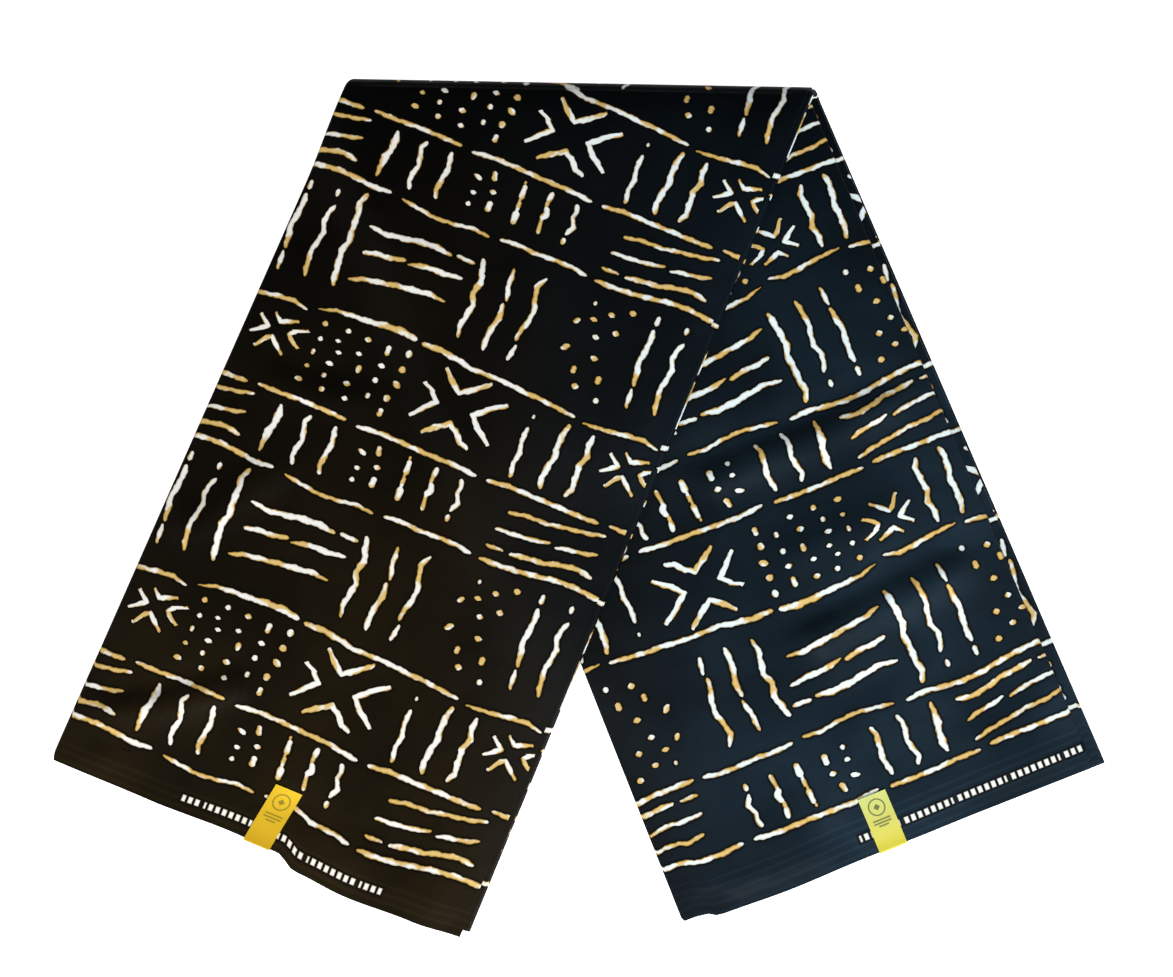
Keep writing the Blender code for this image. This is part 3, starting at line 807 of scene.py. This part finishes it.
def new_material(name, roughness, specular):
    """A material with one Principled shader; gives the material, its tree and the shader."""
    material = bpy.data.materials.new(name)
    material.use_nodes = True
    tree = material.node_tree
    tree.nodes.clear()
    output = tree.nodes.new("ShaderNodeOutputMaterial")
    shader = tree.nodes.new("ShaderNodeBsdfPrincipled")
    shader.inputs["Roughness"].default_value = roughness
    shader.inputs["Specular IOR Level"].default_value = specular
    tree.links.new(shader.outputs[0], output.inputs["Surface"])
    return material, tree, shader


def make_print():
    """The cotton's material: all blocks of marks over the ground, in the flat cloth's coordinates."""
    material, tree, shader = new_material("printed_cotton", roughness=0.50, specular=0.045)
    across, down = flat_millimetres(tree, "flat_cloth")
    x = wrap_node(tree, across, SEAM, REPEAT_ACROSS)
    x_top = wrap_node(tree, across, SEAM_TOP_LINE, REPEAT_ACROSS)
    x_stars = wrap_node(tree, across, SEAM_STAR_LINE, REPEAT_ACROSS)
    x_short = wrap_node(tree, across, SEAM_SHORT_LINE, REPEAT_ACROSS)
    y = wrap_node(tree, down, SEAM_DOWN, REPEAT_DOWN)

    hand = np.random.default_rng(31)
    zero = tree.nodes.new("ShaderNodeValue")
    zero.outputs[0].default_value = 0.0
    paint = (math_node(tree, "ADD", zero.outputs[0], NO_MARK), zero.outputs[0], zero.outputs[0])
    for along, rows in ((x_top, [LINE_UNDER_TALL]), (x_stars, [LINE_UNDER_STARS]),
                        (x_short, [LINE_UNDER_SHORT]), (x_top, SHORT_LADDER), (x, TALL_LADDER),
                        (x, SMALL_STAR_ENDS), (x, LARGE_STAR_ENDS)):
        paint = add_lines(tree, paint, along, y, rows, hand)
    for columns in (SMALL_STAR_SIDES, LARGE_STAR_SIDES, DOTS[:2], DOTS[2:4], DOTS[4:], STAR_DASHES,
                    SHORT_DASHES[:3], SHORT_DASHES[3:], BEADED_DASHES, LONG_DASHES, LONG_DASHES_RIGHT,
                    SCATTERED_DOTS[:2], SCATTERED_DOTS[2:]):
        paint = add_lines(tree, paint, y, x, columns, hand)
    edge, ochre, lean = paint

    # The plain band at both ends, with a row of small white blocks on each
    before_left_end = math_node(tree, "SUBTRACT", LEFT_PRINT_END, down)
    past_right_end = math_node(tree, "SUBTRACT", down, RIGHT_PRINT_END)
    in_print = math_node(tree, "MINIMUM", before_left_end, past_right_end)
    edge = math_node(tree, "MINIMUM", edge, in_print)
    block = wrap_node(tree, across, -BLOCK_PITCH / 2, BLOCK_PITCH)
    group = wrap_node(tree, across, BLOCK_PITCH / 2, BLOCK_GROUP)
    in_group = math_node(tree, "SUBTRACT", group, BLOCK_PITCH)
    for start, end, middle in SELVEDGE_ROWS:
        inside = within_node(tree, BLOCK_HALF_WIDTH, block, 0.0)
        in_row = within_node(tree, (end - start) / 2, across, (start + end) / 2)
        in_height = within_node(tree, BLOCK_HALF_HEIGHT, down, middle)
        for limit in (in_height, in_group, in_row):
            inside = math_node(tree, "MINIMUM", inside, limit)
        ochre = math_node(tree, "SUBTRACT", ochre, math_node(tree, "GREATER_THAN", inside, -RIM_ROOM))
        edge = math_node(tree, "MAXIMUM", edge, inside)
    mask = map_node(tree, edge, -PRINT_BLUR, PRINT_BLUR, easing="SMOOTHSTEP")

    # Ochre gathers along the marks' rims, more on one side than on the other, and fills
    # patches of them; the rims of the white stretches are only tinted
    flat_mm = tree.nodes.new("ShaderNodeCombineXYZ")
    tree.links.new(across, flat_mm.inputs[0])
    tree.links.new(down, flat_mm.inputs[1])
    grain = noise_node(tree, flat_mm.outputs[0], 0.34, 2.0)
    cloud = noise_node(tree, flat_mm.outputs[0], 0.055, 2.0)
    leaning = math_node(tree, "MULTIPLY", lean, map_node(tree, cloud, 0.38, 0.62, -0.42, 0.42))
    rim_reach = map_node(tree, grain, 0.3, 0.7, 0.6, 1.7)
    rim = map_node(tree, math_node(tree, "DIVIDE", edge, rim_reach), 0.05, 1.0, 1.0, 0.0, "SMOOTHSTEP")
    patchy = math_node(tree, "MULTIPLY_ADD", math_node(tree, "SUBTRACT", grain, 0.5), 0.8, ochre)
    patchy = math_node(tree, "ADD", patchy, leaning)
    patchy = math_node(tree, "MULTIPLY_ADD", rim, 0.16, patchy)
    filled = map_node(tree, patchy, 0.12, 0.88, easing="SMOOTHSTEP")

    # White turns cooler to the right, a painted tint of the cool right lamp. The ground is near
    # black where both legs start; away from the fold it lightens, warm on the left leg and bluish on
    # the right one, less so on the right leg's left part, and it has soft darker blotches: all of
    # this is painted sheen. It is darkest close to the marks
    place = tree.nodes.new("ShaderNodeTexCoord").outputs["Object"]
    coords = tree.nodes.new("ShaderNodeSeparateXYZ")
    tree.links.new(place, coords.inputs[0])
    to_right = map_node(tree, coords.outputs[0], -0.12, 0.14, easing="SMOOTHSTEP")
    sheen_to_front = map_node(tree, coords.outputs[1], 0.28, -0.26)
    sheen_to_middle = map_node(tree, coords.outputs[1], 0.30, -0.06)

    # Painted tint of the cool right lamp: the white is cooler to the right
    white_core = mix_node(tree, to_right, (0.66, 0.66, 0.63, 1), (0.60, 0.70, 0.73, 1))
    white = mix_node(tree, math_node(tree, "MULTIPLY", rim, 0.6), white_core, (0.42, 0.30, 0.16, 1))
    ochre_deep = mix_node(tree, rim, (0.53, 0.37, 0.135, 1), (0.32, 0.18, 0.030, 1))
    stroke = mix_node(tree, filled, white, ochre_deep)

    # Painted sheen: the ground lightens away from the fold, warm on the left leg, bluish on the right
    left_ground_and_sheen = mix_node(tree, sheen_to_front, (0.0003, 0.0004, 0.0003, 1), (0.0105, 0.0066, 0.0018, 1))
    right_ground_and_sheen = mix_node(tree, sheen_to_middle, (0.0005, 0.0024, 0.0042, 1), (0.0082, 0.0180, 0.0280, 1))
    dim = map_node(tree, coords.outputs[0], 0.05, 0.17, 0.45, 0.0)
    right_ground_and_sheen = mix_node(tree, dim, right_ground_and_sheen, (0.0010, 0.0016, 0.0020, 1))
    ground = mix_node(tree, to_right, left_ground_and_sheen, right_ground_and_sheen)
    # Painted sheen: soft blotches where the ground is darkened
    sheen = map_node(tree, noise_node(tree, place, 9.0, 3.0), 0.34, 0.66, easing="SMOOTHSTEP")
    ground = mix_node(tree, sheen, ground, (0.50, 0.50, 0.50, 1), "MULTIPLY")
    halo = map_node(tree, edge, -2.6, -0.6, 0.0, 0.75, "SMOOTHSTEP")
    ground = mix_node(tree, halo, ground, (0.0005, 0.0005, 0.0005, 1))

    # Faint lighter threads along the finished edges
    in_band = math_node(tree, "LESS_THAN", in_print, -THREAD_START)
    thread = math_node(tree, "ABSOLUTE", wrap_node(tree, down, -THREAD_PITCH / 2, THREAD_PITCH))
    thread = math_node(tree, "MULTIPLY", map_node(tree, thread, 0.4, 1.2, 0.30, 0.0), in_band)
    ground = mix_node(tree, thread, ground, (2.3, 2.3, 2.3, 1), "MULTIPLY")
    colour = mix_node(tree, mask, ground, stroke)
    tree.links.new(colour, shader.inputs["Base Color"])

    # Soft dents of a hand-smoothed cloth, and the weave's fine grain
    dents = noise_node(tree, place, 26.0, 3.0, roughness=0.45)
    weave = noise_node(tree, flat_mm.outputs[0], 0.9, 2.0)
    height = math_node(tree, "MULTIPLY_ADD", weave, 0.012, dents)
    bump = tree.nodes.new("ShaderNodeBump")
    bump.inputs["Strength"].default_value = 1.0
    bump.inputs["Distance"].default_value = 0.0022
    tree.links.new(height, bump.inputs["Height"])
    tree.links.new(bump.outputs[0], shader.inputs["Normal"])
    return material


cloth.data.materials.append(make_print())

# The labels
# One narrow strip of satin gold paper over each end, laid on the top layer and bent
# down over the cloth's finished edge. They are cut from a printed sheet by hand.

LABEL_SHEET = 0.0003        # the paper's thickness
LABEL_LIFT = 0.0005         # from the stack's top to the paper
LABEL_BEND = 0.0012         # radius at the cloth's edge
LABEL_HANG = 0.0030         # straight part below the bend
LABEL_STEPS = 24
LABEL_BEND_STEPS = 6
LABEL_COLUMNS = 12


def make_label(name, leg, centre_share, width, length, slant):
    """One strip of paper that follows the top layer's relief and is bent down over its edge."""
    centre = np.array([centre_share * STRIP_WIDTH])
    edge = leg_plan(leg, centre, 1.0, 1.0)[0]
    if leg == "left":
        down = LEFT_DOWN
        carried = slip(STACK, 0.0)
    else:
        down = RIGHT_DOWN
        carried = slip(0.0, np.pi)
    edge = edge + carried * FOLD_ALONG
    beside = np.array([-down[1], down[0]])
    turn = np.radians(slant)
    along = down * np.cos(turn) - beside * np.sin(turn)

    rest = LABEL_LIFT + LABEL_SHEET / 2
    rows = []
    for reach in np.linspace(-length, 0.0, LABEL_STEPS + 1):
        rows.append((reach, rest, 0.0, 1.0))
    for step in range(1, LABEL_BEND_STEPS + 1):
        angle = np.pi / 2 * step / LABEL_BEND_STEPS
        out, up = np.sin(angle), np.cos(angle)
        rows.append((LABEL_BEND * out, rest - LABEL_BEND * (1 - up), out, up))
    rows.append((LABEL_BEND, rest - LABEL_BEND - LABEL_HANG, 1.0, 0.0))
    rows = np.array(rows)
    half = rows[:, 2:4] * LABEL_SHEET / 2
    outline = np.vstack([rows[:, :2] + half, (rows[:, :2] - half)[::-1]])
    on_cloth = np.minimum(outline[:, :1], 0.0)
    past_edge = np.maximum(outline[:, :1], 0.0)

    shares = np.linspace(0.5, -0.5, LABEL_COLUMNS + 1)
    stations = []
    for side in shares:
        under = edge + on_cloth * along + side * width * beside
        proud = relief(leg, under, centre + side * width, -on_cloth[:, 0])
        height = STACK * swell(under) + proud + outline[:, 1]
        stations.append(np.column_stack([under + past_edge * down, height]))
    points = np.array(stations)
    flat = np.zeros(points.shape[:2] + (2,))
    flat[:, :, 0] = (shares * width)[:, None]
    flat[:, :, 1] = -outline[None, :, 0]
    return carried_sheet(name, points, flat, "flat_paper")


# The generic mark on a label, in millimetres, with heights as shares of the label's length
RING_PLACE = 0.76
RING_RADIUS = 5.6
RING_HALF_LINE = 0.50
DIAMOND_REACH = 2.4
BAR_HALF_HEIGHT = 0.55
BARS = ((0.53, 6.4), (0.475, 6.4), (0.42, 3.6))     # place, half length


def gold_paper(name, length, top, foot, ink):
    """Satin gold paper with a generic ring round a diamond over three bars, length in millimetres.

    Each shape is a distance in millimetres, above zero inside it, and the largest is taken.
    """
    material, tree, shader = new_material(name, roughness=0.42, specular=0.25)
    across, up = flat_millimetres(tree, "flat_paper")
    across = math_node(tree, "ABSOLUTE", across)
    above = math_node(tree, "ABSOLUTE", math_node(tree, "SUBTRACT", up, length * RING_PLACE))
    squares = math_node(tree, "MULTIPLY_ADD", above, above, math_node(tree, "MULTIPLY", across, across))
    radius = math_node(tree, "SQRT", squares)
    ring = within_node(tree, RING_HALF_LINE, radius, RING_RADIUS)
    diamond = math_node(tree, "SUBTRACT", DIAMOND_REACH, math_node(tree, "ADD", across, above))
    printed = math_node(tree, "MAXIMUM", ring, diamond)
    for share, half_length in BARS:
        in_height = within_node(tree, BAR_HALF_HEIGHT, up, length * share)
        in_length = math_node(tree, "SUBTRACT", half_length, across)
        printed = math_node(tree, "MAXIMUM", printed, math_node(tree, "MINIMUM", in_height, in_length))
    mask = map_node(tree, printed, -0.2, 0.2, 0.0, 0.8)
    # Painted sheen and shade: the paper darkens from its top toward the bend at its foot
    paper = mix_node(tree, map_node(tree, up, 0.0, length), foot, top)
    tree.links.new(mix_node(tree, mask, paper, ink), shader.inputs["Base Color"])
    return material


# Solid's node, leg, share of the width at the label's middle, width, length on the cloth,
# slant in degrees, paper, and the paper's colour at its top, at its foot and of its ink; the
# foot's darker colour is painted sheen and shade of the bend
LABELS = (
    ("label_left", "left", 0.501, 0.0195, 0.0427, 8.3, "gold_paper_deep",
     (0.62, 0.40, 0.014, 1), (0.42, 0.24, 0.002, 1), (0.16, 0.12, 0.010, 1)),
    ("label_right", "right", 0.504, 0.0203, 0.0383, -0.8, "gold_paper_pale",
     (0.47, 0.50, 0.150, 1), (0.44, 0.38, 0.030, 1), (0.030, 0.055, 0.030, 1)),
)
for node, leg, share, width, length, slant, paper, top, foot, ink in LABELS:
    label = make_label(node + "_strip", leg, share, width, length, slant)
    label.data.materials.append(gold_paper(paper, length * 1000.0, top, foot, ink))
    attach(label, "root")
    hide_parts(node)

# The shop's photo table
# A white sheet that the cloth lies on, soft lamps at both sides and in front of it, and
# a camera that looks down from just in front of its middle.

TABLE_HALF = 3.0
TABLE_GLOW = 0.8
ROOM_LIGHT = 0.28

table_corners = [(x * TABLE_HALF, y * TABLE_HALF, 0.0) for x, y in ((-1, -1), (1, -1), (1, 1), (-1, 1))]
floor_mesh = bpy.data.meshes.new("white_table")
floor_mesh.from_pydata(table_corners, [], [(0, 1, 2, 3)])
floor = new_object("white_table", floor_mesh)
floor_material, _, floor_shader = new_material("white_table", roughness=0.9, specular=0.1)
floor_shader.inputs["Base Color"].default_value = (0.93, 0.93, 0.93, 1)
floor_shader.inputs["Emission Color"].default_value = (1.0, 1.0, 1.0, 1)
floor_shader.inputs["Emission Strength"].default_value = TABLE_GLOW
floor_mesh.materials.append(floor_material)

# Name, place, aim, size, power, colour
LAMPS = (
    ("lamp_left", (-1.6, -0.2, 1.3), (0.0, 0.0, 0.0), 1.2, 10.0, (1.0, 0.95, 0.88)),
    ("lamp_right", (1.6, -0.2, 1.4), (0.0, 0.0, 0.0), 1.2, 12.0, (0.88, 0.95, 1.0)),
    ("lamp_front", (0.6, -2.2, 1.5), (0.1, 0.0, 0.0), 0.8, 120.0, (0.95, 0.98, 1.0)),
)
for name, spot, aim, size, power, colour in LAMPS:
    lamp_data = bpy.data.lights.new(name, "AREA")
    lamp_data.size = size
    lamp_data.energy = power
    lamp_data.color = colour
    lamp = new_object(name, lamp_data)
    lamp.location = spot
    toward = mathutils.Vector(aim) - mathutils.Vector(spot)
    lamp.rotation_euler = toward.to_track_quat("-Z", "Y").to_euler()

world = bpy.data.worlds.new("white_room")
world.use_nodes = True
world.node_tree.nodes["Background"].inputs["Color"].default_value = (1.0, 1.0, 1.0, 1)
world.node_tree.nodes["Background"].inputs["Strength"].default_value = ROOM_LIGHT
bpy.context.scene.world = world

CAMERA_AIM = np.array([0.0041, 0.0070, 0.0])
CAMERA_RISE = np.radians(83.0)
CAMERA_DISTANCE = 1.386
camera_data = bpy.data.cameras.new("camera")
camera_data.lens = 60.2
camera_data.sensor_width = 36.0
camera = new_object("camera", camera_data)
camera.location = CAMERA_AIM + CAMERA_DISTANCE * np.array([0.0, -np.cos(CAMERA_RISE), np.sin(CAMERA_RISE)])
camera.rotation_euler = (np.pi / 2 - CAMERA_RISE, 0.0, 0.0)
bpy.context.scene.camera = camera
bpy.context.scene.view_settings.view_transform = "Standard"
